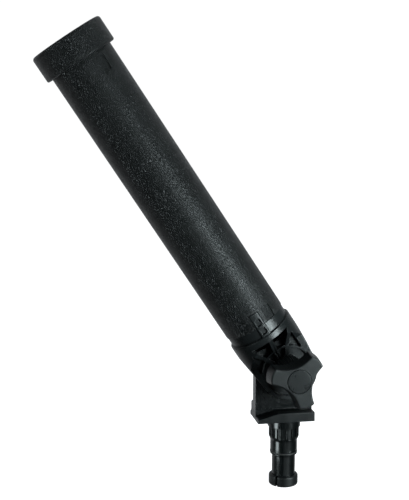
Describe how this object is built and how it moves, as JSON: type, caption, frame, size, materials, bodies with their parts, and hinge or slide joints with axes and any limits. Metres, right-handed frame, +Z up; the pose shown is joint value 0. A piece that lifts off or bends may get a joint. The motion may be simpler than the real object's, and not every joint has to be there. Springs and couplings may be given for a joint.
{
  "type": "fishing rod holder",
  "caption": "Tilting tube rod holder: a grained tube with a rim collar on a ribbed yoke, clamped to a bracket by a three-lobed knob, above a splined mounting post.",
  "frame": {"origin": "on the post's axis, level with the underside of the bracket's foot", "axes": "+Z up along the post's axis, +Y along the pivot away from the knob, -X the way the tube leans at rest"},
  "size_m": [0.2244, 0.0741, 0.3815],
  "materials": {
    "tube_plastic": "leather-grained moulded black",
    "collar_plastic": "leather-grained moulded black",
    "yoke_plastic": "fine satin moulded black",
    "bracket_plastic": "satin moulded black",
    "post_plastic": "smooth semi-gloss black",
    "lock_ring_plastic": "smooth semi-gloss black",
    "hub_plastic": "satin moulded black",
    "knob_plastic": "fine-grained moulded black",
    "cap_plastic": "smooth satin black",
    "seal_rubber": "matt black rubber",
    "friction_rubber": "dark grey rubber",
    "steel": "stainless, brushed",
    "brass": "turned brass",
    "bronze": "sintered bronze"
  },
  "bodies": {
    "base": {"bracket": "bracket_plastic", "post": "post_plastic", "post_seal_ring": "seal_rubber", "post_lock_ring": "lock_ring_plastic", "post_bolt": "steel", "post_bolt_washer": "steel", "foot_insert": "brass", "pivot_bushing": "bronze", "front_friction_disc": "friction_rubber", "rear_friction_disc": "friction_rubber"},
    "holder": {"rod_tube": "tube_plastic", "rim_collar": "collar_plastic", "tube_yoke": "yoke_plastic", "pivot_bolt": "steel", "pivot_bolt_washer": "steel", "clamp_hub": "hub_plastic"},
    "knob_washer": {"thrust_washer": "steel"},
    "knob": {"knob_body": "knob_plastic", "knob_insert": "brass", "knob_cap": "cap_plastic"}
  },
  "joints": [
    {"name": "tube_tilt", "type": "hinge", "parent": "base", "child": "holder", "pos_m": [0.001, 0, 0.042], "axis": [0, 1, 0], "range_deg": [-26, 93]},
    {"name": "knob_travel", "type": "slide", "parent": "holder", "child": "knob_washer", "axis": [0, -1, 0], "range_m": [0, 0.00187]},
    {"name": "knob_turn", "type": "hinge", "parent": "knob_washer", "child": "knob", "pos_m": [0.001, 0, 0.042], "axis": [0, -1, 0], "range_deg": [0, 540]}
  ],
  "couplings": [
    {"joint": "knob_turn", "follows": "knob_travel", "rad_per_m": 5026.5}
  ]
}
